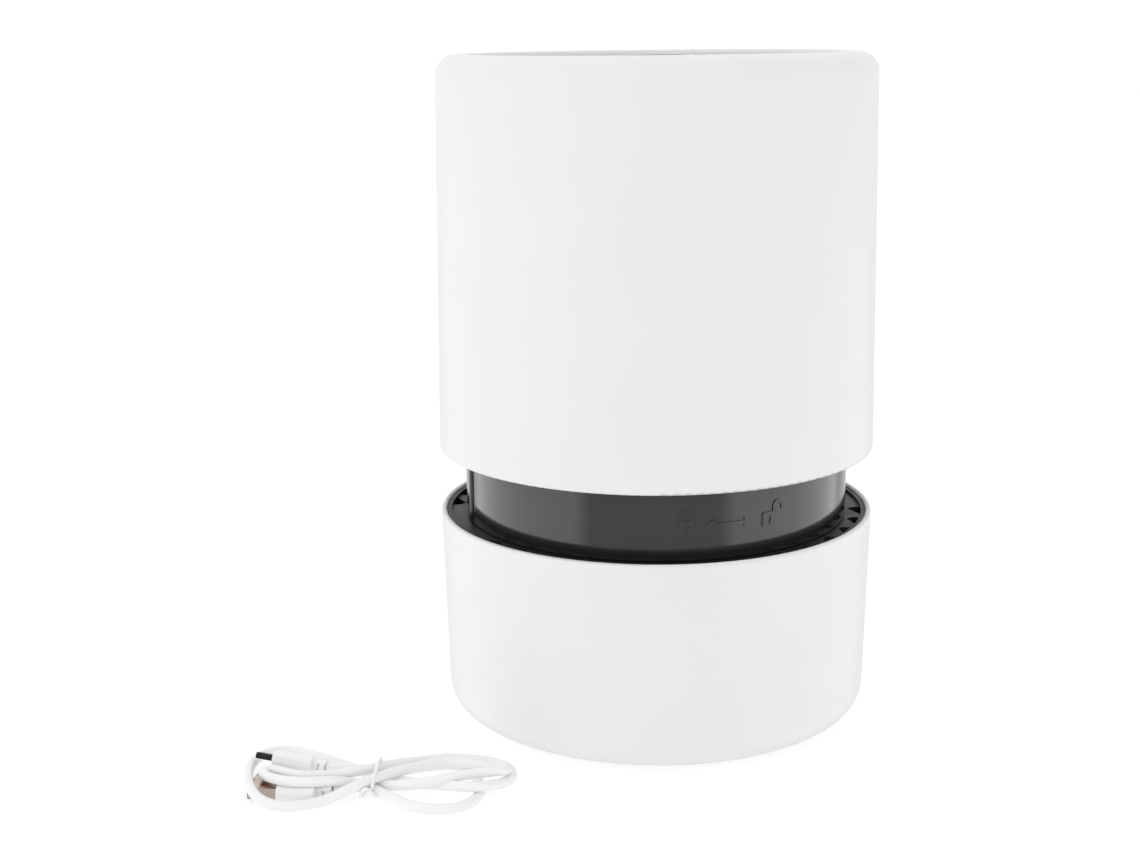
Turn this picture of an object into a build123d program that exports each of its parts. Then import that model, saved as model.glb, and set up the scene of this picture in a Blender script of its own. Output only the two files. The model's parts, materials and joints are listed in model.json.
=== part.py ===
"""Small cylindrical air purifier with its USB power cable lying beside it.

Air enters the ring-shaped gap between the two white drums, drops through the
vented deck into the base, passes inwards through a round filter, is drawn up
by the fan in the head and leaves through the grille in the top.

Units are millimetres, +Z is up, the front is -Y and the origin is the middle
of the footprint. An azimuth is counted from the front (-Y) towards +X.
"""
import math
import os

from build123d import *

# Driving sizes
DRUM_R = 88.0            # widest radius of both white drums
HEIGHT = 264.4
BASE_TOP = 83.2          # rim of the base drum
HEAD_BOTTOM = 109.3      # rim of the upper drum
WALL = 2.4
TOP_R = 86.1             # upper drum just under its rounded top edge
TOP_ROUND = 8.0
FOOT_HEIGHT = 0.8

# Base
BASE_FLOOR_R = 86.0
BASE_ROUND = 9.5
FLOOR_TOP = FOOT_HEIGHT + WALL
DECK_Z = 81.0            # top of the vented deck
DECK_THICK = 1.8
LINER_BOTTOM = 66.0
LINER_R = 83.9           # inner radius of the deck's outer wall
NECK_R = 75.2            # opening that the head's spigot drops into
NECK_TOP = 84.9
NECK_WALL_R = 76.0       # outside of the thin neck, which the collar hides
VENT_TIP_R = 78.8        # pointed inner end of each vent
VENT_PITCH = 10.5        # degrees between neighbouring vents
VENTS_PER_SIDE = 14
FIRST_VENT = 87.5
LUG_AZIMUTHS = (-75.0, 105.0)
LUG_HALF_ANGLE = 7.0
LOCK_ANGLE = 25.0

# Filter
FILTER_R = 74.0
FILTER_BOTTOM = 5.0
FILTER_TOP = 72.5
FILTER_HOLE_R = 42.0
SEAL_THICK = 2.5

# Head
COLLAR_R = 77.6
COLLAR_BOTTOM = DECK_Z + 0.3
SKIRT_INNER_R = 76.3     # the collar's lower end fits round the neck
COLLAR_INNER_R = 75.0
COLLAR_TOP = 118.0
FLANGE_Z = 112.0
GRIP_AZIMUTHS = (-70.0, 110.0)
SPIGOT_R = 74.7
PLATE_Z = FILTER_TOP + SEAL_THICK
PLATE_THICK = 2.0
SPIGOT_TOP = 95.2
INLET_R = 41.0
FAN_HOUSING_TOP = 142.0
GRILLE_TOP = 262.4
GRILLE_THICK = 4.0
GRILLE_R = 74.1
DUCT_TOP = GRILLE_TOP - GRILLE_THICK
PANEL_R = 25.6
BUTTON_R = 10.9
BUTTON_HOLE_R = 11.3

# Fan
FAN_R = 62.0
FAN_BOTTOM = 82.0
FAN_TOP = 114.0
HUB_R = 26.0
HUB_BOTTOM = 94.0
BLADES = 11
SHAFT_R = 1.5

# Power socket in the back of the head
SOCKET_Z = 123.8
SOCKET_WIDTH = 8.94
SOCKET_HEIGHT = 3.26
SOCKET_FRONT = 78.3
SOCKET_MOUTH = 85.6

# Lead inside the head
LEAD_Z = 252.8

# Cable
CORD_R = 1.9


# ---------------------------------------------------------------- helpers

def ring(inner, outer, bottom, top):
    """A plain tube round the Z axis."""
    tube = Pos(0, 0, bottom) * extrude(Circle(outer) - Circle(inner), top - bottom)
    return tube


def disc(radius, bottom, top):
    """A plain round plate round the Z axis."""
    return Pos(0, 0, bottom) * extrude(Circle(radius), top - bottom)


def turned(points, rounds=()):
    """Revolve an (r, z) outline about Z; rounds lists (corner number, radius)."""
    outline = Polyline(*[(r, z) for r, z in points], close=True)
    face = make_face(outline)
    for corner, radius in rounds:
        r, z = points[corner]
        nearest = face.vertices().sort_by_distance((r, z, 0))[0]
        face = fillet(nearest, radius)
    return revolve(Plane.XZ * face, Axis.Z)


def around(shape, azimuth):
    """Turn a shape built at the front so that it sits at an azimuth."""
    return Rot(0, 0, azimuth) * shape


def at(azimuth, radius, z=0.0):
    """The position at an azimuth, radius and height."""
    angle = math.radians(azimuth)
    return Pos(radius * math.sin(angle), -radius * math.cos(angle), z)


def sector(inner, outer, bottom, top, middle, half_angle):
    """A piece of a tube that spans an azimuth range."""
    reach = outer * 1.5
    spread = math.radians(half_angle)
    wedge = make_face(Polyline(
        (0, 0),
        (-reach * math.sin(spread), -reach * math.cos(spread)),
        (reach * math.sin(spread), -reach * math.cos(spread)),
        close=True))
    block = Pos(0, 0, bottom) * extrude(wedge, top - bottom)
    return around(block, middle) & ring(inner, outer, bottom, top)


def tube_along(points, radius):
    """Sweep a circle along a smooth curve through the points."""
    path = Spline(*points)
    section = Plane(origin=path @ 0, z_dir=path % 0) * Circle(radius)
    return sweep(section, path=path)


def save(name, shape):
    """Write one node."""
    export_step(shape, f"parts/{name}.step")


# ---------------------------------------------------------------- base

def base_wall_r(z):
    """Inner radius of the base drum's tapered wall."""
    share = (z - FLOOR_TOP) / (BASE_TOP - FLOOR_TOP)
    return (BASE_FLOOR_R - WALL) + share * (DRUM_R - BASE_FLOOR_R)


def make_base_shell():
    """White cup with a rounded foot, a lip, ledge ribs and two seat rings."""
    cup = turned([
        (0, FOOT_HEIGHT),
        (BASE_FLOOR_R, FOOT_HEIGHT),
        (DRUM_R, BASE_TOP),
        (DRUM_R - WALL, BASE_TOP),
        (BASE_FLOOR_R - WALL, FLOOR_TOP),
        (0, FLOOR_TOP),
    ], rounds=[(1, BASE_ROUND), (2, 1.15), (3, 1.15), (4, BASE_ROUND - WALL)])
    for radius in (30.0, 62.0):
        cup += ring(radius - 1.0, radius + 1.0, FLOOR_TOP - 0.2, FILTER_BOTTOM)
    wall = turned([
        (FILTER_R + 0.8, FLOOR_TOP - 0.2),
        (BASE_FLOOR_R - 1.0, FLOOR_TOP - 0.2),
        (base_wall_r(LINER_BOTTOM) + 1.0, LINER_BOTTOM),
        (FILTER_R + 0.8, LINER_BOTTOM),
    ])
    outside = turned([
        (0, FOOT_HEIGHT),
        (BASE_FLOOR_R, FOOT_HEIGHT),
        (DRUM_R, BASE_TOP),
        (0, BASE_TOP),
    ], rounds=[(1, BASE_ROUND)])
    for number in range(6):
        rib = Pos(0, -80, 40) * Box(2.0, 30, 90)
        cup += around(rib, 60 * number + 15) & wall & outside
    for number in range(4):
        cup -= at(90 * number + 45, 62.0) * disc(8.0, 0, FOOT_HEIGHT + 1.0)
    return cup


def make_rubber_feet():
    """Four round pads set into the underside."""
    feet = []
    for number in range(4):
        pad = disc(7.9, 0, FOOT_HEIGHT + 1.0)
        lower_rim = pad.edges().sort_by(Axis.Z)[0]
        feet.append(at(90 * number + 45, 62.0) * fillet(lower_rim, 0.5))
    return Compound(feet)


def make_rating_label():
    """Blank sticker under the base."""
    return Pos(0, 0, FOOT_HEIGHT - 0.15) * extrude(RectangleRounded(52, 30, 2.5), 0.15)


def vent_azimuths():
    """Middles of the vents: two equal groups with a solid patch between them."""
    one_side = [FIRST_VENT - VENT_PITCH * number for number in range(VENTS_PER_SIDE)]
    return one_side + [azimuth + 180 for azimuth in one_side]


def spot(azimuth, radius):
    """Flat coordinates of the point at an azimuth and radius."""
    angle = math.radians(azimuth)
    return radius * math.sin(angle), -radius * math.cos(angle)


def vent_outline():
    """One vent at the front: a pointed inner end, a bulging side and a slanting side."""
    tip = spot(0, VENT_TIP_R)
    far = spot(1.4, 86.0)
    near = spot(-7.2, 86.0)
    return make_face([
        ThreePointArc(tip, spot(1.9, 81.4), far),
        Line(far, near),
        Line(near, tip),
    ])


def make_vented_plate(underside):
    """Flat ring with the vents, reaching into the deck's outer wall."""
    plate = ring(NECK_R + 1.5, LINER_R + 0.3, underside, DECK_Z)
    vent = Pos(0, 0, underside - 1) * extrude(vent_outline(), DECK_THICK + 2)
    for azimuth in vent_azimuths():
        plate -= around(vent, azimuth)
    return plate


def make_intake_deck():
    """Dark ring with vents, the neck and the bayonet ledge."""
    lip_r = base_wall_r(DECK_Z + 1.2) - 0.1
    foot_r = base_wall_r(LINER_BOTTOM) - 0.1
    underside = DECK_Z - DECK_THICK
    deck = turned([
        (LINER_R, LINER_BOTTOM),
        (foot_r, LINER_BOTTOM),
        (lip_r, DECK_Z + 1.2),
        (LINER_R, DECK_Z + 1.2),
    ])
    deck += make_vented_plate(underside)
    deck += turned([
        (NECK_R, underside),
        (78.5, underside),
        (78.5, DECK_Z),
        (NECK_WALL_R, DECK_Z),
        (NECK_WALL_R, NECK_TOP),
        (NECK_R, NECK_TOP),
    ])
    deck += ring(77.1, 78.4, 72.0, underside + 0.5)
    for azimuth in LUG_AZIMUTHS:
        deck -= sector(70, 76.5, underside - 1, NECK_TOP + 1, azimuth, LUG_HALF_ANGLE + 1.5)
        low_stop = azimuth - LOCK_ANGLE - LUG_HALF_ANGLE - 1.3
        high_stop = azimuth + LUG_HALF_ANGLE + 1.3
        for stop in (low_stop, high_stop):
            deck += sector(75.4, 77.5, 74.5, underside + 0.5, stop, 1.0)
    return deck


# ---------------------------------------------------------------- filter

def make_filter_bottom_cap():
    """Closed tray glued to the lower end of the filter."""
    tray = disc(FILTER_R, FILTER_BOTTOM, FILTER_BOTTOM + 1.5)
    return tray + ring(FILTER_R - 1.6, FILTER_R, FILTER_BOTTOM, FILTER_BOTTOM + 4.0)


def make_filter_top_cap():
    """Ring-shaped cap with a rim and a throat round the clean-air hole."""
    cap = ring(FILTER_HOLE_R, FILTER_R, FILTER_TOP - 1.5, FILTER_TOP)
    cap += ring(FILTER_R - 1.6, FILTER_R, FILTER_TOP - 4.0, FILTER_TOP)
    return cap + ring(FILTER_HOLE_R, FILTER_HOLE_R + 1.5, FILTER_TOP - 6.0, FILTER_TOP)


def make_filter_media():
    """Pleated paper ring."""
    pleats = 48
    inner, outer, thickness = 51.0, 68.5, 1.0
    step = math.pi / pleats

    def star(shift):
        corners = []
        for number in range(2 * pleats):
            radius = (outer if number % 2 else inner) + shift
            corners.append((radius * math.cos(number * step), radius * math.sin(number * step)))
        return make_face(Polyline(*corners, close=True))

    slant = math.atan2(outer * step, outer - inner)
    shift = 0.5 * thickness / math.sin(slant)
    band = star(shift) - star(-shift)
    return Pos(0, 0, FILTER_BOTTOM + 1.5) * extrude(band, FILTER_TOP - FILTER_BOTTOM - 3.0)


def make_carbon_sleeve():
    """Carbon-filled inner sleeve."""
    return ring(43.6, 47.4, FILTER_BOTTOM + 1.5, FILTER_TOP - 1.5)


def make_prefilter_mesh():
    """Fabric mesh wrapped round the pleats."""
    return ring(71.4, 72.3, FILTER_BOTTOM + 1.5, FILTER_TOP - 1.5)


def make_filter_strap():
    """Flat ribbon across the top cap for pulling the filter out."""
    return Pos(0, 0, FILTER_TOP) * extrude(RectangleRounded(104, 14, 3), 0.8)


def make_filter_seal():
    """Foam ring squeezed between the filter and the head."""
    return ring(56.0, 66.0, FILTER_TOP, PLATE_Z)


# ---------------------------------------------------------------- collar icons

def padlock(shift, free_leg_bottom):
    """Lock case with a keyhole; its shackle is moved sideways by shift."""
    leg_foot, bend_y, leg_x = 2.0, 4.6, 2.0
    case = RectangleRounded(6.3, 5.7, 0.9)
    keyhole = Pos(0, 0.5) * Circle(0.8) + Pos(0, -0.6) * Rectangle(0.7, 2.0)
    bend = Pos(shift, bend_y) * (Circle(leg_x + 0.55) - Circle(leg_x - 0.55))
    bend = bend & Pos(shift, bend_y + 2.9) * Rectangle(8, 6)
    lock = case - keyhole + bend
    for side, foot in ((-1, leg_foot), (1, free_leg_bottom)):
        length = bend_y + 0.1 - foot
        lock += Pos(shift + side * leg_x, foot + length / 2) * Rectangle(1.1, length)
    return lock


def double_arrow():
    """Line with an arrow head at both ends."""
    arrow = Rectangle(13, 1.1)
    for side in (-1, 1):
        head = make_face(Polyline((side * 5.9, -2.0), (side * 9.5, 0), (side * 5.9, 2.0), close=True))
        arrow += head
    return arrow


def emboss(sketch, arc, z):
    """Raise a flat sketch 0.4 mm on the collar, at an arc length from the front."""
    azimuth = math.degrees(arc / COLLAR_R)
    angle = math.radians(azimuth)
    outwards = (math.sin(angle), -math.cos(angle), 0)
    sideways = (math.cos(angle), math.sin(angle), 0)
    centre = (70 * outwards[0], 70 * outwards[1], z)
    block = extrude(Plane(origin=centre, x_dir=sideways, z_dir=outwards) * sketch, 15)
    return block & ring(COLLAR_R - 1.0, COLLAR_R + 0.4, 86, 108)


# ---------------------------------------------------------------- head

def make_collar():
    """Glossy dark cylinder with the lock icons and the flange that closes the drum."""
    collar = turned([
        (COLLAR_INNER_R, NECK_TOP),
        (SKIRT_INNER_R, NECK_TOP),
        (SKIRT_INNER_R, COLLAR_BOTTOM),
        (COLLAR_R, COLLAR_BOTTOM),
        (COLLAR_R, FLANGE_Z),
        (85.0, FLANGE_Z),
        (85.0, FLANGE_Z + 2.0),
        (COLLAR_R, FLANGE_Z + 2.0),
        (COLLAR_R, COLLAR_TOP),
        (COLLAR_INNER_R, COLLAR_TOP),
    ], rounds=[(3, 0.4), (4, 0.8)])
    collar += emboss(padlock(0, 2.0), 11.65, 94.2)
    collar += emboss(double_arrow(), 28.15, 95.0)
    collar += emboss(padlock(4.15, 3.4), 45.0, 94.4)
    for azimuth in GRIP_AZIMUTHS:
        rib = at(azimuth, COLLAR_R - 0.2) * disc(1.3, COLLAR_BOTTOM + 0.3, FLANGE_Z)
        collar += rib - disc(COLLAR_R - 0.6, 80, 120)
    for number in range(4):
        collar -= at(90 * number + 45, 81.4) * disc(1.6, 100, 120)
    return collar


def make_inlet_plate():
    """Spigot with bayonet lugs, floor plate and rounded fan inlet."""
    plate = ring(INLET_R, SPIGOT_R, PLATE_Z, PLATE_Z + PLATE_THICK)
    plate += ring(SPIGOT_R - 2.1, SPIGOT_R, PLATE_Z, SPIGOT_TOP)
    plate += turned([
        (INLET_R, PLATE_Z),
        (45.0, PLATE_Z),
        (45.0, PLATE_Z + PLATE_THICK),
        (INLET_R + 1.6, PLATE_Z + PLATE_THICK + 1.5),
        (INLET_R + 1.6, 84.0),
        (INLET_R, 84.0),
    ], rounds=[(3, 1.2)])
    for azimuth in LUG_AZIMUTHS:
        lug = sector(SPIGOT_R - 1.0, 76.1, PLATE_Z + 0.2, 78.6, azimuth, LUG_HALF_ANGLE)
        plate += lug
    return plate


def make_inlet_guard():
    """Finger guard in the fan inlet."""
    bottom, top = PLATE_Z + 0.2, PLATE_Z + PLATE_THICK
    guard = ring(38.8, INLET_R - 0.1, bottom, top)
    for radius in (10.0, 19.5, 29.0):
        guard += ring(radius - 0.8, radius + 0.8, bottom, top)
    guard += disc(3.5, bottom, top)
    spoke = Pos(0, -20, (bottom + top) / 2) * Box(1.6, 38, top - bottom)
    for number in range(6):
        guard += around(spoke, 60 * number)
    return guard


def make_fan_housing():
    """Outer ring, curved guide vanes and the motor mount above the impeller."""
    housing = ring(SPIGOT_R - 2.1, SPIGOT_R - 0.1, SPIGOT_TOP, FAN_HOUSING_TOP)
    housing += disc(31.0, 117.0, 119.5)
    housing += ring(29.0, 31.0, 117.0, 136.0)
    vane_line = ThreePointArc((0, -30.0), (8.0, -52.0), (24.0, -69.3))
    vane = Pos(0, 0, 117.0) * extrude(trace(vane_line, 1.6), 19.0)
    for number in range(9):
        housing += around(vane, 40 * number)
    housing += ring(3.5, 5.5, 99.0, 118.0)
    return housing - disc(3.5, 90, 118.3)


def make_motor_bearings():
    """Two sleeve bearings in the motor tube."""
    return Compound([ring(SHAFT_R + 0.03, 3.5, z, z + 4.0) for z in (100.0, 113.0)])


def make_stator_core():
    """Nine-tooth laminated core on the motor tube."""
    core = ring(5.5, 9.0, 101.0, 109.0)
    tooth = Pos(0, -13.0, 105.0) * Box(2.4, 11.0, 8.0)
    for number in range(9):
        core += around(tooth, 40 * number)
        core += sector(17.8, 20.2, 101.0, 109.0, 40 * number, 15.0)
    return core


def make_stator_coils():
    """Copper windings round the teeth."""
    coil = Pos(0, -13.4, 105.0) * (Box(4.6, 7.2, 10.2) - Box(2.4, 9, 8.0))
    return Compound([around(coil, 40 * number) for number in range(9)])


def make_rotor_cup():
    """Steel can pressed into the impeller's hub."""
    cup = ring(23.2, 24.4, HUB_BOTTOM + 1.6, 112.0)
    cup += disc(24.4, HUB_BOTTOM + 1.6, HUB_BOTTOM + 2.8)
    return cup - disc(SHAFT_R, 90, 120)


def make_rotor_magnet():
    """Magnet ring inside the can."""
    return ring(20.9, 23.2, 99.0, 111.0)


def make_motor_shaft():
    """Steel shaft carried by the two bearings."""
    return disc(SHAFT_R, HUB_BOTTOM + 1.6, 117.6)


def make_impeller():
    """Backward-curved centrifugal wheel with a deep hub."""
    wheel = ring(24.4, HUB_R, HUB_BOTTOM, FAN_TOP - 1.5)
    wheel += disc(HUB_R, HUB_BOTTOM, HUB_BOTTOM + 1.6)
    wheel += ring(24.4, FAN_R, FAN_TOP - 1.5, FAN_TOP)
    shroud = turned([
        (43.4, 80.5),
        (45.0, 80.5),
        (46.5, 84.0),
        (FAN_R, 90.0),
        (FAN_R, 91.4),
        (46.2, 85.4),
        (43.4, 82.0),
    ])
    room = turned([
        (HUB_R - 0.6, HUB_BOTTOM + 0.5),
        (44.6, 84.0),
        (46.4, 84.8),
        (FAN_R - 0.2, 90.8),
        (FAN_R - 0.2, FAN_TOP - 0.8),
        (HUB_R - 0.6, FAN_TOP - 0.8),
    ])
    blade_line = ThreePointArc((0, -25.5), (-10.0, -44.0), (-30.0, -54.4))
    blade = Pos(0, 0, 80) * extrude(trace(blade_line, 1.4), 40)
    blade = blade & room
    for number in range(BLADES):
        wheel += around(blade, 360 / BLADES * number)
    return wheel + shroud


def drum_wall_r(z):
    """Outer radius of the upper drum's tapered wall."""
    share = (z - HEAD_BOTTOM) / (HEIGHT - TOP_ROUND - HEAD_BOTTOM)
    return DRUM_R + share * (TOP_R - DRUM_R)


def make_drum_shell():
    """White upper drum with a rounded shoulder and a round opening in the top."""
    top_corner_r = drum_wall_r(HEIGHT)
    shell = turned([
        (DRUM_R - WALL, HEAD_BOTTOM),
        (DRUM_R, HEAD_BOTTOM),
        (top_corner_r, HEIGHT),
        (GRILLE_R + 0.4, HEIGHT),
        (GRILLE_R + 0.4, HEIGHT - 6.0),
        (GRILLE_R + 2.4, HEIGHT - 6.0),
        (GRILLE_R + 2.4, HEIGHT - WALL),
        (top_corner_r - WALL, HEIGHT - WALL),
    ], rounds=[(0, 0.6), (1, 1.0), (2, TOP_ROUND), (3, 1.0), (7, TOP_ROUND - WALL)])
    for number in range(4):
        azimuth = 90 * number + 45
        boss = at(azimuth, 81.4) * disc(3.4, FLANGE_Z + 2.0, 132.0)
        web = around(Pos(0, -84.6, 123.0) * Box(2.0, 3.6, 18.0), azimuth)
        shell += boss + web
        shell -= at(azimuth, 81.4) * disc(1.4, 100, 126.0)
    opening = extrude(Plane.XZ * SlotOverall(13.4, 7.8), -30)
    return shell - Pos(0, 75, SOCKET_Z) * opening


def make_head_screws():
    """Four screws that hold the collar to the drum."""
    screws = []
    for number in range(4):
        screw = disc(2.8, FLANGE_Z - 1.8, FLANGE_Z) + disc(1.4, FLANGE_Z - 0.5, 124.0)
        cross = Box(3.0, 0.7, 1.6) + Box(0.7, 3.0, 1.6)
        screw -= Pos(0, 0, FLANGE_Z - 1.8) * cross
        screws.append(at(90 * number + 45, 81.4) * screw)
    return Compound(screws)


def make_outlet_duct():
    """Tube that carries the air from the fan to the grille."""
    duct = ring(SPIGOT_R - 2.1, SPIGOT_R - 0.1, FAN_HOUSING_TOP, DUCT_TOP)
    duct += ring(SPIGOT_R - 0.1, SPIGOT_R + 1.3, FAN_HOUSING_TOP - 8.0, FAN_HOUSING_TOP + 4.0)
    return duct - lead_hole(SPIGOT_R - 1.0)


def lead_hole(y):
    """Cutter for the hole that the inner lead passes through, at the back."""
    return Pos(0, y + 4.0, LEAD_Z) * extrude(Plane.XZ * Circle(1.5), 8.0)


def make_outlet_grille():
    """Recessed top grille of curved blades round the control cup."""
    bottom = GRILLE_TOP - GRILLE_THICK
    grille = ring(GRILLE_R - 3.0, GRILLE_R, bottom, GRILLE_TOP)
    for radius in (42.0, 57.0):
        grille += ring(radius - 0.7, radius + 0.7, bottom, GRILLE_TOP - 1.0)
    blade_line = ThreePointArc((0, -26.5), (4.5, -50.0), (14.0, -70.6))
    blade = Pos(0, 0, bottom) * extrude(trace(blade_line, 1.4), GRILLE_THICK)
    count = 48
    for number in range(count):
        grille += around(blade, 360 / count * number)
    cup = ring(PANEL_R + 0.1, PANEL_R + 1.6, 246.0, GRILLE_TOP + 0.4)
    cup += disc(PANEL_R + 1.0, 246.0, 247.5)
    cup += ring(PANEL_R - 1.2, PANEL_R + 0.5, 247.0, 258.6)
    grille += cup
    for azimuth in (45, 165, 285):
        grille += at(azimuth, 18.0) * ring(1.0, 2.6, 247.0, 250.0)
    return grille - lead_hole(PANEL_R)


def make_control_panel():
    """Round cap in the middle of the grille, with the button hole and a light slot."""
    cap = disc(PANEL_R, 258.6, 262.8)
    cap = fillet(cap.edges().sort_by(Axis.Z)[-1], 0.8)
    cap -= disc(BUTTON_HOLE_R, 250, 270)
    return cap - ring(14.0, 15.6, 250, 270) + ring(13.0, 17.0, 258.6, 259.6)


def make_light_ring():
    """Translucent ring that shows the fan speed."""
    return ring(14.0, 15.6, 259.6, 262.9)


def make_power_button():
    """Round push button with its stem and retaining rim."""
    button = disc(BUTTON_R, 257.6, 263.6)
    button = fillet(button.edges().sort_by(Axis.Z)[-1], 0.7)
    dish = Pos(0, 0, 263.6 + 60.0 - 0.5) * Sphere(60.0)
    button -= dish
    button += disc(12.2, 257.4, 258.4)
    return button + disc(2.6, 256.0, 258.0)


def make_control_board():
    """Round circuit board under the control panel."""
    board = disc(24.0, 250.0, 251.6)
    for azimuth in (45, 165, 285):
        board -= at(azimuth, 18.0) * disc(1.3, 240, 260)
    return board


def make_board_screws():
    """Small screws of the control board and of the power board."""
    screw = disc(2.1, 0, 1.2) + disc(1.0, -4.0, 0.5)
    screws = [at(azimuth, 18.0, 251.6) * screw for azimuth in (45, 165, 285)]
    screws += [Pos(side * 8.4, 80.6, 122.2) * screw for side in (-1, 1)]
    return Compound(screws)


def make_tact_switch():
    """Switch body that the button works."""
    body = Pos(0, 0, 253.35) * Box(6.2, 6.2, 3.5)
    return body - disc(1.8, 251.9, 260)


def make_switch_plunger():
    """Plunger that sinks into the switch with the button."""
    return disc(1.7, 252.9, 256.0)


def make_power_board():
    """Small board on two posts behind the socket."""
    board = Pos(0, 80.6, 121.6) * Box(21.0, 7.4, 1.2)
    for side in (-1, 1):
        board -= Pos(side * 8.4, 80.6, 110) * extrude(Circle(1.1), 20)
    return board


def make_board_posts():
    """Posts that carry the power board on the flange."""
    posts = []
    for side in (-1, 1):
        post = extrude(Circle(2.2) - Circle(1.0), 7.0)
        posts.append(Pos(side * 8.4, 80.6, FLANGE_Z + 2.0) * post)
    return Compound(posts)


def usb_c_section(width, height):
    """Stadium-shaped outline used by the socket and the plug."""
    return RectangleRounded(width, height, height / 2 - 0.01)


def make_power_socket():
    """USB-C receptacle shell with its tongue."""
    length = SOCKET_MOUTH - SOCKET_FRONT
    outer = usb_c_section(SOCKET_WIDTH, SOCKET_HEIGHT)
    inner = usb_c_section(SOCKET_WIDTH - 0.6, SOCKET_HEIGHT - 0.6)
    shell = extrude(Plane.XZ * (outer - inner), -length)
    shell += extrude(Plane.XZ * outer, -1.0)
    return Pos(0, SOCKET_FRONT, SOCKET_Z + 0.03) * shell


def make_socket_tongue():
    """Contact tongue inside the receptacle."""
    tongue = Box(6.7, 5.4, 0.7)
    return Pos(0, SOCKET_FRONT + 1.0 + 2.7, SOCKET_Z + 0.03) * tongue


def make_head_wiring():
    """Lead from the power board up the duct and under the grille to the control board."""
    return tube_along([
        (-6.2, 78.1, 122.2),
        (-6.0, 79.4, 136.0),
        (-4.0, 79.6, 200.0),
        (-1.0, 79.4, 238.0),
        (0, 76.5, LEAD_Z - 1.5),
        (0, 70.0, LEAD_Z),
        (0, 45.0, LEAD_Z),
        (0, 22.5, LEAD_Z),
    ], 1.1)


# ---------------------------------------------------------------- cable

WAIST = (-103.0, -98.6, 4.8)

# Middle line of each loop of the folded cord, with the heights it fills
LOOPS = [
    ("outer left", 0.0, 4.6, [
        (-104, -93), (-110, -89), (-118, -83.6), (-126, -78.2), (-135, -73.2), (-143, -71.2),
        (-149.3, -74.2), (-152, -84.5), (-152, -92)]),
    ("outer left over the plug", 5.5, 9.5, [
        (-151.6, -87), (-151.8, -94), (-150, -105), (-147, -113.5), (-142.6, -119)]),
    ("outer left in front", 0.0, 7.4, [
        (-149.2, -108.6), (-147, -113.5), (-142.6, -119), (-135, -121.2), (-126, -118),
        (-118, -114.6), (-110, -110.5), (-104, -105)]),
    ("outer right, far strand", 0.0, 4.6, [
        (-102, -94.4), (-92, -82.4), (-86, -78.6), (-78, -76.8), (-63, -79.6), (-56.8, -84),
        (-54, -91), (-55, -98)]),
    ("outer right, near strand", 0.0, 7.6, [
        (-54.2, -94), (-57.8, -103), (-62.4, -107.6), (-68, -108.8), (-83, -102.4), (-101, -96)]),
    ("upper right, far strand", 3.1, 8.2, [
        (-101, -104), (-90, -94.2), (-80, -88), (-72, -87.6), (-61, -91.6), (-57, -95)]),
    ("upper right, near strand", 3.3, 9.6, [
        (-57.4, -93.6), (-56.4, -97.4), (-62, -101.2), (-73, -104.4), (-86, -106.8), (-101, -103.6)]),
    ("low right", 0.0, 3.8, [
        (-101, -91), (-94, -87), (-84, -83.1), (-78.6, -82.3), (-73.4, -84.8), (-69, -90),
        (-65.8, -97), (-64, -104.2), (-65.2, -111), (-68.6, -116.4), (-73.6, -119.3),
        (-80.4, -119.8), (-87.4, -117), (-94, -112.4), (-101, -106)]),
    ("end with the USB-C plug", 1.6, 6.4, [(-123.2, -92.8), (-117, -92.4), (-110, -91.4), (-103, -91)]),
    ("end with the USB-A plug", 1.4, 5.2, [(-117.6, -108.8), (-112, -107), (-103, -103)]),
]

# Outline of the narrow inner loop, which lies over the USB-A plug
INNER_LOOP = [
    (-104, -93.6), (-110, -98), (-116, -101.8), (-124, -105), (-132, -104.6), (-138, -101),
    (-142.6, -100.4), (-144.2, -105), (-141, -110), (-133, -114.6), (-124, -116), (-116, -112),
    (-110, -106), (-104, -104)]


def make_cable_hank():
    """Outer shape of the folded cord: loops that meet in the tied waist."""
    x, y, z = WAIST
    hank = Pos(x - 7, y, z) * extrude(Plane.YZ * Ellipse(9.6, 4.1), 14)
    hank += Pos(0, 0, 6.3) * extrude(make_face(Spline(*INNER_LOOP, periodic=True)), 3.9)
    for _, bottom, top, points in LOOPS:
        band = trace(Spline(*points), 2 * CORD_R)
        hank += Pos(0, 0, bottom) * extrude(band, top - bottom)
    for plug, width, length in ((USB_C_PLUG, 10.6, 28), (USB_A_PLUG, 14.2, 32)):
        hank -= plug * extrude(Rectangle(width, 6.4), length)
    return hank


def make_cable_tie():
    """Thin tie round the waist, with two twisted ends."""
    x, y, z = WAIST
    band = extrude(Plane.YZ * (Ellipse(10.2, 4.75) - Ellipse(9.7, 4.2)), 1.6)
    tie = Pos(x - 0.8, y, z) * band
    return tie + tube_along([(x, y - 9.9, z - 0.6), (x - 3, y - 12, 3.0), (x - 5, y - 11, 1.2)], 0.7)


def plug_plane(tip, tail, roll):
    """Frame whose Z axis runs from the plug's tail to its tip, rolled about it."""
    along = Vector(*tip) - Vector(*tail)
    flat = Vector(0, 0, 1).cross(along).normalized()
    frame = Plane(origin=tail, x_dir=flat, z_dir=along.normalized())
    return frame.rotated((0, 0, 0)) * Rot(0, 0, roll)


USB_C_PLUG = plug_plane((-149.1, -88.3, 7.6), (-123.0, -92.8, 4.6), 25)
USB_A_PLUG = plug_plane((-148.1, -106.1, 3.2), (-117.5, -108.9, 3.3), 0)
USB_C_RELIEF = 4.6       # length of the strain relief behind each grip
USB_C_BODY = 15.4
USB_A_RELIEF = 5.5
USB_A_BODY = 14.2
USB_A_SHELL = 11.0


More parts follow.
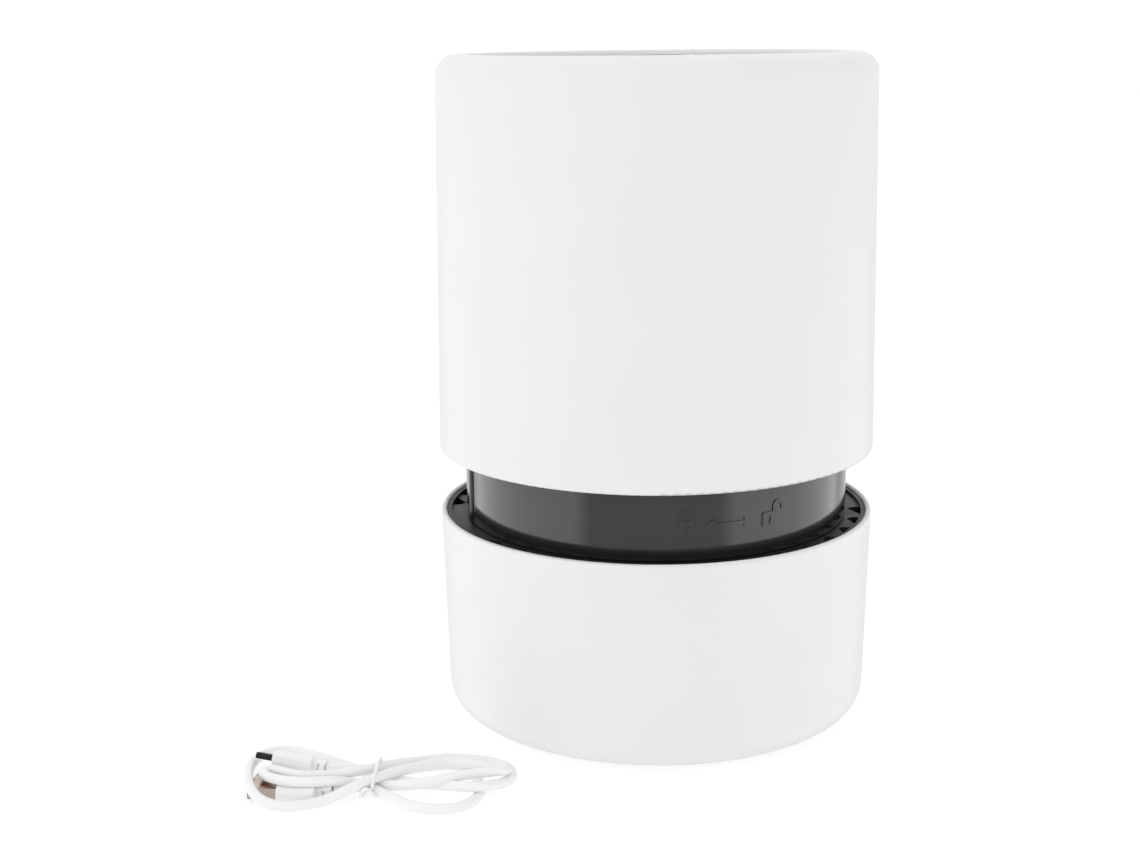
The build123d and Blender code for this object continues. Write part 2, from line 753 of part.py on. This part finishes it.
def plug_body(width, height, relief_length, body_length):
    """Moulded grip and the notched strain relief behind it."""
    relief_width, relief_height = 6.6, height - 0.8
    relief = extrude(RectangleRounded(relief_width, relief_height, 2.0), relief_length)
    middle = relief_length / 2
    for side in (-1, 1):
        relief -= Pos(side * relief_width / 2, 0, middle) * Box(1.6, 2.2, 0.9)
        relief -= Pos(0, side * relief_height / 2, middle) * Box(2.4, 1.4, 0.9)
    grip = Pos(0, 0, relief_length) * extrude(RectangleRounded(width, height, height / 2 - 0.6), body_length)
    grip = fillet(grip.edges().group_by(Axis.Z)[0] + grip.edges().group_by(Axis.Z)[-1], 0.5)
    return grip + relief


def make_usb_c_grip():
    """Moulded grip of the USB-C plug."""
    return USB_C_PLUG * plug_body(10.4, 6.2, USB_C_RELIEF, USB_C_BODY)


def make_usb_c_shell():
    """Metal shell of the USB-C plug."""
    section = usb_c_section(8.25, 2.4)
    hollow = usb_c_section(7.65, 1.8)
    start = USB_C_RELIEF + USB_C_BODY
    shell = extrude(section, 6.65) - Pos(0, 0, 1.0) * extrude(hollow, 8)
    return USB_C_PLUG * Pos(0, 0, start) * shell


def make_usb_a_grip():
    """Moulded grip of the USB-A plug."""
    return USB_A_PLUG * plug_body(14.0, 6.2, USB_A_RELIEF, USB_A_BODY)


def make_usb_a_shell():
    """Metal shell of the USB-A plug, with the two square windows on each face."""
    start = USB_A_RELIEF + USB_A_BODY
    shell = extrude(Rectangle(12.0, 4.5) - Rectangle(11.4, 3.9), USB_A_SHELL)
    for side in (-1, 1):
        shell -= Pos(side * 2.9, 0, 5.2) * Box(2.3, 8, 2.0)
    return USB_A_PLUG * Pos(0, 0, start) * shell


def make_usb_a_insert():
    """Plastic tongue inside the USB-A shell."""
    start = USB_A_RELIEF + USB_A_BODY
    return USB_A_PLUG * Pos(0, 0.95, start) * extrude(Rectangle(11.2, 1.9), USB_A_SHELL - 0.4)


def main():
    os.makedirs("parts", exist_ok=True)
    save("base_shell", make_base_shell())
    save("rubber_feet", make_rubber_feet())
    save("rating_label", make_rating_label())
    save("intake_deck", make_intake_deck())
    save("filter_bottom_cap", make_filter_bottom_cap())
    save("filter_top_cap", make_filter_top_cap())
    save("filter_media", make_filter_media())
    save("carbon_sleeve", make_carbon_sleeve())
    save("prefilter_mesh", make_prefilter_mesh())
    save("filter_strap", make_filter_strap())
    save("filter_seal", make_filter_seal())
    save("collar", make_collar())
    save("inlet_plate", make_inlet_plate())
    save("inlet_guard", make_inlet_guard())
    save("fan_housing", make_fan_housing())
    save("motor_bearings", make_motor_bearings())
    save("stator_core", make_stator_core())
    save("stator_coils", make_stator_coils())
    save("rotor_cup", make_rotor_cup())
    save("rotor_magnet", make_rotor_magnet())
    save("motor_shaft", make_motor_shaft())
    save("impeller", make_impeller())
    save("drum_shell", make_drum_shell())
    save("head_screws", make_head_screws())
    save("outlet_duct", make_outlet_duct())
    save("outlet_grille", make_outlet_grille())
    save("control_panel", make_control_panel())
    save("light_ring", make_light_ring())
    save("power_button", make_power_button())
    save("control_board", make_control_board())
    save("board_screws", make_board_screws())
    save("tact_switch", make_tact_switch())
    save("switch_plunger", make_switch_plunger())
    save("power_board", make_power_board())
    save("board_posts", make_board_posts())
    save("power_socket", make_power_socket())
    save("socket_tongue", make_socket_tongue())
    save("head_wiring", make_head_wiring())
    save("cable_hank", make_cable_hank())
    save("cable_tie", make_cable_tie())
    save("usb_c_grip", make_usb_c_grip())
    save("usb_c_shell", make_usb_c_shell())
    save("usb_a_grip", make_usb_a_grip())
    save("usb_a_shell", make_usb_a_shell())
    save("usb_a_insert", make_usb_a_insert())


main()
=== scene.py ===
"""Looks for the small cylindrical air purifier and its folded USB cable."""
import json
import math

import bpy
from mathutils import Matrix, Vector


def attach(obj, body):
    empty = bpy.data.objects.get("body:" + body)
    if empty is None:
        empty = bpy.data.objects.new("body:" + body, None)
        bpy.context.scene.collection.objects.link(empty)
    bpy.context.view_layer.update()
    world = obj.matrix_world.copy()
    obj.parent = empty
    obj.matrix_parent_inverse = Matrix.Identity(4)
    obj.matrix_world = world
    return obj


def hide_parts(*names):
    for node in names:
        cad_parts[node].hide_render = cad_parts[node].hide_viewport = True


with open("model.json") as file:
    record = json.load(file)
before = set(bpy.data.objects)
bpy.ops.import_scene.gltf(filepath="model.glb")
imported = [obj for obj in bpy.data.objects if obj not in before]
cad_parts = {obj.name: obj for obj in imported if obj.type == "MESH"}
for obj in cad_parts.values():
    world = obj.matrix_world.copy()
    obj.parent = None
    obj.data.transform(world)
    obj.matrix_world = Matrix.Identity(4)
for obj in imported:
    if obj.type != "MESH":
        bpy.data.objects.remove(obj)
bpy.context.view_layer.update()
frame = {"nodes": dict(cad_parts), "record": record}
nodes = frame["nodes"]
MM = 0.001


# ------------------------------------------------------------------ node helpers

def new_material(name):
    """A fresh node material with its Principled shader."""
    material = bpy.data.materials.new(name)
    material.use_nodes = True
    shader = material.node_tree.nodes["Principled BSDF"]
    return material, material.node_tree, shader


def add(tree, kind, **values):
    """Add a node; plain values go to its properties, or to inputs of that name."""
    node = tree.nodes.new(kind)
    for key, value in values.items():
        if key in node.inputs:
            node.inputs[key].default_value = value
        else:
            setattr(node, key, value)
    return node


def object_noise(tree, scale, detail=3.0, roughness=0.55, stretch=(1, 1, 1)):
    """Noise in the object's own space, in metres."""
    coords = add(tree, "ShaderNodeTexCoord")
    mapping = add(tree, "ShaderNodeMapping")
    mapping.inputs["Scale"].default_value = stretch
    noise = add(tree, "ShaderNodeTexNoise", Scale=scale, Detail=detail, Roughness=roughness)
    tree.links.new(coords.outputs["Object"], mapping.inputs["Vector"])
    tree.links.new(mapping.outputs["Vector"], noise.inputs["Vector"])
    return noise


def remap(tree, source, low, high, from_low=0.3, from_high=0.7):
    """Spread a 0..1 value over a chosen range."""
    node = add(tree, "ShaderNodeMapRange")
    node.inputs["From Min"].default_value = from_low
    node.inputs["From Max"].default_value = from_high
    node.inputs["To Min"].default_value = low
    node.inputs["To Max"].default_value = high
    tree.links.new(source, node.inputs["Value"])
    return node.outputs["Result"]


def mix_colours(tree, factor, first, second):
    """Blend two fixed colours by a factor socket."""
    node = add(tree, "ShaderNodeMix", data_type="RGBA")
    tree.links.new(factor, node.inputs["Factor"])
    node.inputs["A"].default_value = (*first, 1)
    node.inputs["B"].default_value = (*second, 1)
    return node.outputs["Result"]


def add_bump(tree, shader, height, distance, strength=1.0, below=None):
    """Bump from a height socket, in metres, on top of an earlier bump."""
    bump = add(tree, "ShaderNodeBump", Strength=strength, Distance=distance)
    tree.links.new(height, bump.inputs["Height"])
    if below:
        tree.links.new(below, bump.inputs["Normal"])
    tree.links.new(bump.outputs["Normal"], shader.inputs["Normal"])
    return bump.outputs["Normal"]


# ------------------------------------------------------------------ materials

def moulded(name, colour, roughness, grain=0.000012, grain_scale=2600, tone=0.97, coat=0.0,
            coat_roughness=0.1, spread=0.06, specular=0.5):
    """Moulded plastic: fine grain, cloudy roughness, faint drift in tone."""
    material, tree, shader = new_material(name)
    cloud = object_noise(tree, 22, 2.0)
    darker = tuple(channel * tone for channel in colour)
    colours = mix_colours(tree, remap(tree, cloud.outputs["Fac"], 0, 1), colour, darker)
    tree.links.new(colours, shader.inputs["Base Color"])
    smudge = object_noise(tree, 60, 5.0, 0.6)
    rough = remap(tree, smudge.outputs["Fac"], roughness - spread, roughness + spread)
    tree.links.new(rough, shader.inputs["Roughness"])
    shader.inputs["Specular IOR Level"].default_value = specular
    shader.inputs["Coat Weight"].default_value = coat
    shader.inputs["Coat Roughness"].default_value = coat_roughness
    swell = object_noise(tree, 35, 1.0)
    below = add_bump(tree, shader, swell.outputs["Fac"], 0.00004)
    fine = object_noise(tree, grain_scale, 2.0, 0.7)
    add_bump(tree, shader, fine.outputs["Fac"], grain, below=below)
    return material


def brushed_metal(name, colour, roughness, stretch=(1, 1, 30), metallic=1.0):
    """Metal with fine drawn lines and duller patches."""
    material, tree, shader = new_material(name)
    lines = object_noise(tree, 900, 4.0, 0.6, stretch)
    colours = mix_colours(tree, lines.outputs["Fac"], colour, tuple(c * 0.78 for c in colour))
    tree.links.new(colours, shader.inputs["Base Color"])
    patches = object_noise(tree, 300, 3.0)
    rough = remap(tree, patches.outputs["Fac"], roughness - 0.07, roughness + 0.1)
    tree.links.new(rough, shader.inputs["Roughness"])
    shader.inputs["Metallic"].default_value = metallic
    add_bump(tree, shader, lines.outputs["Fac"], 0.000008)
    return material


def granular(name, dark, light, scale, depth, roughness=0.9):
    """Grains, as in foam or carbon."""
    material, tree, shader = new_material(name)
    coords = add(tree, "ShaderNodeTexCoord")
    cells = add(tree, "ShaderNodeTexVoronoi", Scale=scale)
    tree.links.new(coords.outputs["Object"], cells.inputs["Vector"])
    colours = mix_colours(tree, remap(tree, cells.outputs["Distance"], 0, 1, 0.0, 0.7), light, dark)
    tree.links.new(colours, shader.inputs["Base Color"])
    shader.inputs["Roughness"].default_value = roughness
    add_bump(tree, shader, cells.outputs["Distance"], -depth)
    return material


def woven(name, dark, light, threads, depth):
    """Fabric with crossing threads round and up a cylinder."""
    material, tree, shader = new_material(name)
    coords = add(tree, "ShaderNodeTexCoord")
    parts = add(tree, "ShaderNodeSeparateXYZ")
    tree.links.new(coords.outputs["Object"], parts.inputs["Vector"])
    angle = add(tree, "ShaderNodeMath", operation="ARCTAN2")
    tree.links.new(parts.outputs["Y"], angle.inputs[0])
    tree.links.new(parts.outputs["X"], angle.inputs[1])
    heights = []
    for source, factor in ((angle.outputs[0], threads * 0.072), (parts.outputs["Z"], threads)):
        scaled = add(tree, "ShaderNodeMath", operation="MULTIPLY")
        tree.links.new(source, scaled.inputs[0])
        scaled.inputs[1].default_value = factor * 2 * math.pi
        wave = add(tree, "ShaderNodeMath", operation="SINE")
        tree.links.new(scaled.outputs[0], wave.inputs[0])
        heights.append(wave.outputs[0])
    weave = add(tree, "ShaderNodeMath", operation="MAXIMUM")
    tree.links.new(heights[0], weave.inputs[0])
    tree.links.new(heights[1], weave.inputs[1])
    level = remap(tree, weave.outputs[0], 0, 1, -0.4, 1.0)
    tree.links.new(mix_colours(tree, level, dark, light), shader.inputs["Base Color"])
    shader.inputs["Roughness"].default_value = 0.85
    shader.inputs["Sheen Weight"].default_value = 0.25
    add_bump(tree, shader, level, depth)
    return material


def circuit(name):
    """Green solder mask with faint copper tracks."""
    material, tree, shader = new_material(name)
    coords = add(tree, "ShaderNodeTexCoord")
    tracks = add(tree, "ShaderNodeTexBrick", Scale=160.0)
    tracks.inputs["Mortar Size"].default_value = 0.12
    tree.links.new(coords.outputs["Object"], tracks.inputs["Vector"])
    colours = mix_colours(tree, tracks.outputs["Fac"], (0.012, 0.10, 0.04), (0.03, 0.2, 0.08))
    tree.links.new(colours, shader.inputs["Base Color"])
    shader.inputs["Roughness"].default_value = 0.35
    add_bump(tree, shader, tracks.outputs["Fac"], 0.00003)
    return material


def paper(name, colour):
    """Filter paper with fibres."""
    material, tree, shader = new_material(name)
    fibres = object_noise(tree, 900, 6.0, 0.7, (1, 1, 0.2))
    darker = tuple(c * 0.86 for c in colour)
    tree.links.new(mix_colours(tree, fibres.outputs["Fac"], colour, darker), shader.inputs["Base Color"])
    shader.inputs["Roughness"].default_value = 0.92
    add_bump(tree, shader, fibres.outputs["Fac"], 0.00004)
    return material


WHITE = (0.775, 0.772, 0.765)
MATERIALS = {
    "white_plastic": moulded("white_plastic", WHITE, 0.42, tone=0.985, coat=0.12, coat_roughness=0.35),
    "dark_gloss": moulded("dark_gloss", (0.020, 0.020, 0.022), 0.10, grain=0.0, spread=0.02,
                          coat=0.3, coat_roughness=0.04),
    "dark_plastic": moulded("dark_plastic", (0.019, 0.014, 0.012), 0.5, grain=0.00003),
    "grey_plastic": moulded("grey_plastic", (0.27, 0.28, 0.29), 0.55, grain=0.00003),
    "light_diffuser": moulded("light_diffuser", (0.75, 0.8, 0.86), 0.5),
    "foot_rubber": moulded("foot_rubber", (0.014, 0.014, 0.014), 0.8, grain=0.00005, specular=0.3),
    "label_paper": paper("label_paper", (0.62, 0.63, 0.63)),
    "filter_paper": paper("filter_paper", (0.84, 0.84, 0.8)),
    "filter_fabric": woven("filter_fabric", (0.01, 0.01, 0.011), (0.06, 0.06, 0.065), 700, 0.0003),
    "strap_fabric": paper("strap_fabric", (0.5, 0.51, 0.54)),
    "foam": granular("foam", (0.01, 0.01, 0.01), (0.045, 0.045, 0.05), 1600, 0.0003),
    "carbon": granular("carbon", (0.004, 0.004, 0.004), (0.03, 0.03, 0.03), 700, 0.0005, 0.7),
    "steel": brushed_metal("steel", (0.56, 0.57, 0.58), 0.3),
    "magnet": brushed_metal("magnet", (0.09, 0.09, 0.1), 0.55, metallic=0.6),
    "bronze": brushed_metal("bronze", (0.5, 0.32, 0.14), 0.4),
    "copper": brushed_metal("copper", (0.62, 0.24, 0.09), 0.3, stretch=(1, 1, 1)),
    "circuit_board": circuit("circuit_board"),
    "cable_jacket": moulded("cable_jacket", (0.86, 0.86, 0.86), 0.36, grain=0.000006, tone=0.985, coat=0.15,
                            coat_roughness=0.3),
    "tie_plastic": moulded("tie_plastic", (0.86, 0.86, 0.86), 0.3, coat=0.2),
    "dark_steel": brushed_metal("dark_steel", (0.035, 0.034, 0.034), 0.3),
    "bronze_steel": brushed_metal("bronze_steel", (0.60, 0.50, 0.43), 0.25),
    "plug_insert": moulded("plug_insert", (0.28, 0.04, 0.02), 0.5),
}


def dress(obj, slot):
    """Give an object one material in place of what it has."""
    obj.data.materials.clear()
    obj.data.materials.append(MATERIALS[slot])


def dress_cad():
    """Every CAD node takes its slot's material; the plug shells have their own metals."""
    for row in frame["record"]["subparts"]:
        dress(nodes[row["node"]], row["material_slot"])
    dress(nodes["usb_c_shell"], "dark_steel")
    dress(nodes["usb_a_shell"], "bronze_steel")


# ------------------------------------------------------------------ cable

# Control points of the cord's middle line in millimetres, from the USB-C plug to
# the USB-A plug. The cord passes the tied waist, at x = -103, six times.
CORD_ROUTE = [
    # from the USB-C plug over the waist and round the low right loop
    (-123, -92.8, 4.6), (-118.5, -92.3, 4.4), (-111, -91.4, 3.8), (-103, -91.2, 3.4),
    (-95, -88.2, 2.2), (-85, -83.4, 1.9), (-77, -81.4, 1.9), (-70, -86.5, 1.9),
    (-65.5, -96, 1.9), (-63.2, -105.5, 1.9), (-65.5, -114, 1.9), (-71, -119.4, 1.9),
    (-79.5, -120.6, 1.9), (-88.5, -117.6, 1.9), (-96, -111.2, 1.9), (-103, -105.6, 2.6),
    # narrow inner loop on the left, which lies over the USB-A grip
    (-109.5, -103.6, 3.6), (-115, -107.6, 6.4), (-121.5, -112, 8.1), (-130, -113, 8.2),
    (-138.5, -110.8, 8.2), (-144.2, -106.4, 8.2), (-143.2, -101.4, 8.2), (-137.4, -104.2, 8.2),
    (-130.5, -107.6, 8.2), (-122.5, -106.6, 7.8), (-115, -103, 7.2), (-109, -99.4, 6.8),
    (-103, -95.4, 6.6),
    # outer right loop
    (-97.5, -89.4, 5.2), (-92, -82.8, 3.0), (-85.5, -77.6, 1.9), (-77.5, -76, 1.9),
    (-69.5, -77, 1.9), (-61.5, -79.6, 1.9), (-54.8, -84.4, 1.9), (-52.6, -91.6, 1.9),
    (-55.2, -99, 2.6), (-59.4, -106.2, 4.8), (-65, -110.2, 5.8), (-71.5, -108.6, 5.4),
    (-79, -104.4, 3.8), (-87.5, -100.6, 2.6), (-95.5, -98, 2.4), (-103, -95.4, 2.6),
    # outer left loop, over the USB-A shell
    (-110, -89.6, 2.2), (-118, -83.4, 1.9), (-127, -77.8, 1.9), (-136, -72.4, 1.9),
    (-145, -70.2, 1.9), (-151.6, -74.6, 1.9), (-152.6, -84.5, 2.8), (-151.2, -94.5, 5.8),
    (-149.8, -104.5, 7.6), (-147.2, -114.5, 7.2), (-142, -120.4, 4.4), (-134, -121.4, 2.4),
    (-125.5, -118.4, 2.0), (-118.2, -114.8, 2.6), (-111, -111.2, 5.0), (-103, -105.2, 6.4),
    # upper right loop with its tight turn
    (-96.5, -98.6, 6.0), (-90, -93.2, 5.4), (-83.5, -88.6, 5.0), (-77, -86.6, 5.0),
    (-70, -88, 5.0), (-63.6, -91.2, 5.2), (-57.4, -92.8, 5.4), (-53.9, -96.4, 6.6),
    (-57.6, -100, 7.6), (-64, -101.6, 7.6), (-72, -104.2, 7.4), (-80, -106.8, 6.6),
    (-88, -107.6, 5.4), (-96, -105.2, 3.6), (-103, -101.4, 2.6),
    # back to the USB-A plug
    (-109.5, -104.4, 2.6), (-113.8, -107.4, 3.0), (-117.5, -108.9, 3.3),
]
CORD_DIAMETER = 0.0038

# The tie goes once round the waist and ends in two twisted tails, in millimetres.
TIE_DIAMETER = 0.0013
TIE_CENTRE = (-103.0, -98.6, 5.1)
TIE_HALF_WIDTH = 10.3
TIE_HALF_HEIGHT = 4.4
TIE_LEAN = 0.7
TIE_START_ANGLE = 200
TIE_STEPS = 16
TIE_TAILS = [
    (-104.2, -109.6, 3.6), (-105.6, -110.2, 5.0), (-106.8, -110.6, 3.2), (-107.4, -110.0, 1.6),
    (-105.8, -109.6, 1.8), (-104.6, -110.2, 3.4), (-102.6, -110.4, 3.0), (-101.8, -110.2, 1.4)]


def nurbs_tube(name, route, diameter, slot):
    """A round tube along a NURBS line through control points in millimetres."""
    curve = bpy.data.curves.new(name, "CURVE")
    curve.dimensions = "3D"
    curve.bevel_depth = diameter / 2
    curve.bevel_resolution = 6
    curve.use_fill_caps = True
    spline = curve.splines.new("NURBS")
    spline.points.add(len(route) - 1)
    for point, place in zip(spline.points, route):
        point.co = (*(Vector(place) * MM), 1)
    spline.order_u = 3
    spline.use_endpoint_u = True
    spline.resolution_u = 10
    tube = bpy.data.objects.new(name, curve)
    bpy.context.collection.objects.link(tube)
    tube.data.materials.append(MATERIALS[slot])
    return tube


def tie_route():
    """Points once round the waist, then along the two tails."""
    centre_x, centre_y, centre_z = TIE_CENTRE
    loop = []
    for number in range(TIE_STEPS + 1):
        angle = math.radians(TIE_START_ANGLE - 360 * number / TIE_STEPS)
        loop.append((
            centre_x + TIE_LEAN * math.sin(angle),
            centre_y + TIE_HALF_WIDTH * math.cos(angle),
            centre_z + TIE_HALF_HEIGHT * math.sin(angle)))
    return loop + TIE_TAILS


def stand_in_for(piece, node_name):
    """A soft piece takes a CAD node's place in the base body; the node is hidden."""
    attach(piece, "base")
    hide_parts(node_name)


def make_cable():
    """The folded cord and the twisted tie round its waist."""
    cord = nurbs_tube("cord", CORD_ROUTE, CORD_DIAMETER, "cable_jacket")
    stand_in_for(cord, "cable_hank")
    tie = nurbs_tube("tie", tie_route(), TIE_DIAMETER, "tie_plastic")
    stand_in_for(tie, "cable_tie")


# ------------------------------------------------------------------ stage

CAMERA_PLACE = (0.0, -0.6812, 0.2738)
CAMERA_PITCH = 0.2299
CAMERA_YAW = -0.0512
CAMERA_ROLL = -0.0103
CAMERA_LENS = 53.886

FLOOR_REACH = 6.0
FLOOR_GREY = 0.40
FLOOR_GLOW = 0.66
# Strength of the surroundings: above the horizon from left to right, below it
# from ahead to the sides.
GLOW_LEFT, GLOW_RIGHT = 1.14, 0.95
GLOW_AHEAD, GLOW_SIDES = 0.8, 1.7
SIDES_START, SIDES_FULL = 0.60, 0.72
HORIZON_LOW, HORIZON_HIGH = -0.10, -0.06


def make_camera():
    """The photograph's viewing place, direction and lens."""
    forward = Vector((
        math.sin(CAMERA_YAW) * math.cos(CAMERA_PITCH),
        math.cos(CAMERA_YAW) * math.cos(CAMERA_PITCH),
        -math.sin(CAMERA_PITCH)))
    level = Vector((math.cos(CAMERA_YAW), -math.sin(CAMERA_YAW), 0))
    upright = level.cross(forward)
    right = level * math.cos(CAMERA_ROLL) + upright * math.sin(CAMERA_ROLL)
    up = upright * math.cos(CAMERA_ROLL) - level * math.sin(CAMERA_ROLL)
    data = bpy.data.cameras.new("camera")
    data.lens = CAMERA_LENS
    data.sensor_width = 36
    data.clip_start = 0.01
    camera = bpy.data.objects.new("camera", data)
    turn = Matrix((right, up, -forward)).transposed().to_4x4()
    camera.matrix_world = Matrix.Translation(CAMERA_PLACE) @ turn
    bpy.context.collection.objects.link(camera)
    bpy.context.scene.camera = camera


def area_light(name, place, target, size, watts):
    """A rectangular soft box that faces a point."""
    data = bpy.data.lights.new(name, "AREA")
    data.shape = "RECTANGLE"
    data.size, data.size_y = size
    data.energy = watts
    light = bpy.data.objects.new(name, data)
    direction = Vector(target) - Vector(place)
    light.rotation_euler = direction.to_track_quat("-Z", "Y").to_euler()
    light.location = place
    bpy.context.collection.objects.link(light)


def make_surroundings():
    """White room, a little brighter on the left.

    Below the horizon it is only seen in glossy surfaces: dim ahead, bright at both sides.
    """
    world = bpy.data.worlds.new("world")
    world.use_nodes = True
    tree = world.node_tree
    coords = add(tree, "ShaderNodeTexCoord")
    parts = add(tree, "ShaderNodeSeparateXYZ")
    tree.links.new(coords.outputs["Generated"], parts.inputs["Vector"])
    sideways = add(tree, "ShaderNodeMath", operation="ABSOLUTE")
    tree.links.new(parts.outputs["X"], sideways.inputs[0])
    below = remap(tree, sideways.outputs[0], GLOW_AHEAD, GLOW_SIDES, SIDES_START, SIDES_FULL)
    above = remap(tree, parts.outputs["X"], GLOW_LEFT, GLOW_RIGHT, -1.0, 1.0)
    is_above = remap(tree, parts.outputs["Z"], 0, 1, HORIZON_LOW, HORIZON_HIGH)
    strength = add(tree, "ShaderNodeMix")
    tree.links.new(is_above, strength.inputs["Factor"])
    tree.links.new(below, strength.inputs["A"])
    tree.links.new(above, strength.inputs["B"])
    background = tree.nodes["Background"]
    background.inputs["Color"].default_value = (1, 1, 1, 1)
    tree.links.new(strength.outputs["Result"], background.inputs["Strength"])
    bpy.context.scene.world = world


def make_floor():
    """Pale floor with a faint glow, so that hardly any shadow shows on it."""
    mesh = bpy.data.meshes.new("floor")
    reach = FLOOR_REACH
    corners = [(-reach, -reach, 0), (reach, -reach, 0), (reach, reach, 0), (-reach, reach, 0)]
    mesh.from_pydata(corners, [], [(0, 1, 2, 3)])
    floor = bpy.data.objects.new("floor", mesh)
    bpy.context.collection.objects.link(floor)
    material, _, shader = new_material("floor")
    shader.inputs["Base Color"].default_value = (FLOOR_GREY, FLOOR_GREY, FLOOR_GREY, 1)
    shader.inputs["Roughness"].default_value = 0.9
    shader.inputs["Specular IOR Level"].default_value = 0.1
    shader.inputs["Emission Color"].default_value = (1, 1, 1, 1)
    shader.inputs["Emission Strength"].default_value = FLOOR_GLOW
    mesh.materials.append(material)
    floor.visible_glossy = False


def make_stage():
    """Floor, surroundings, two soft boxes and a plain view."""
    make_floor()
    make_surroundings()
    area_light("key_left", (-1.1, -0.7, 0.75), (0, 0, 0.13), (0.8, 1.2), 0.5)
    area_light("top", (0, 0.3, 1.7), (0, 0, 0), (1.8, 1.8), 1)
    view = bpy.context.scene.view_settings
    view.view_transform = "Standard"
    view.look = "None"


make_camera()
make_cable()
dress_cad()
make_stage()
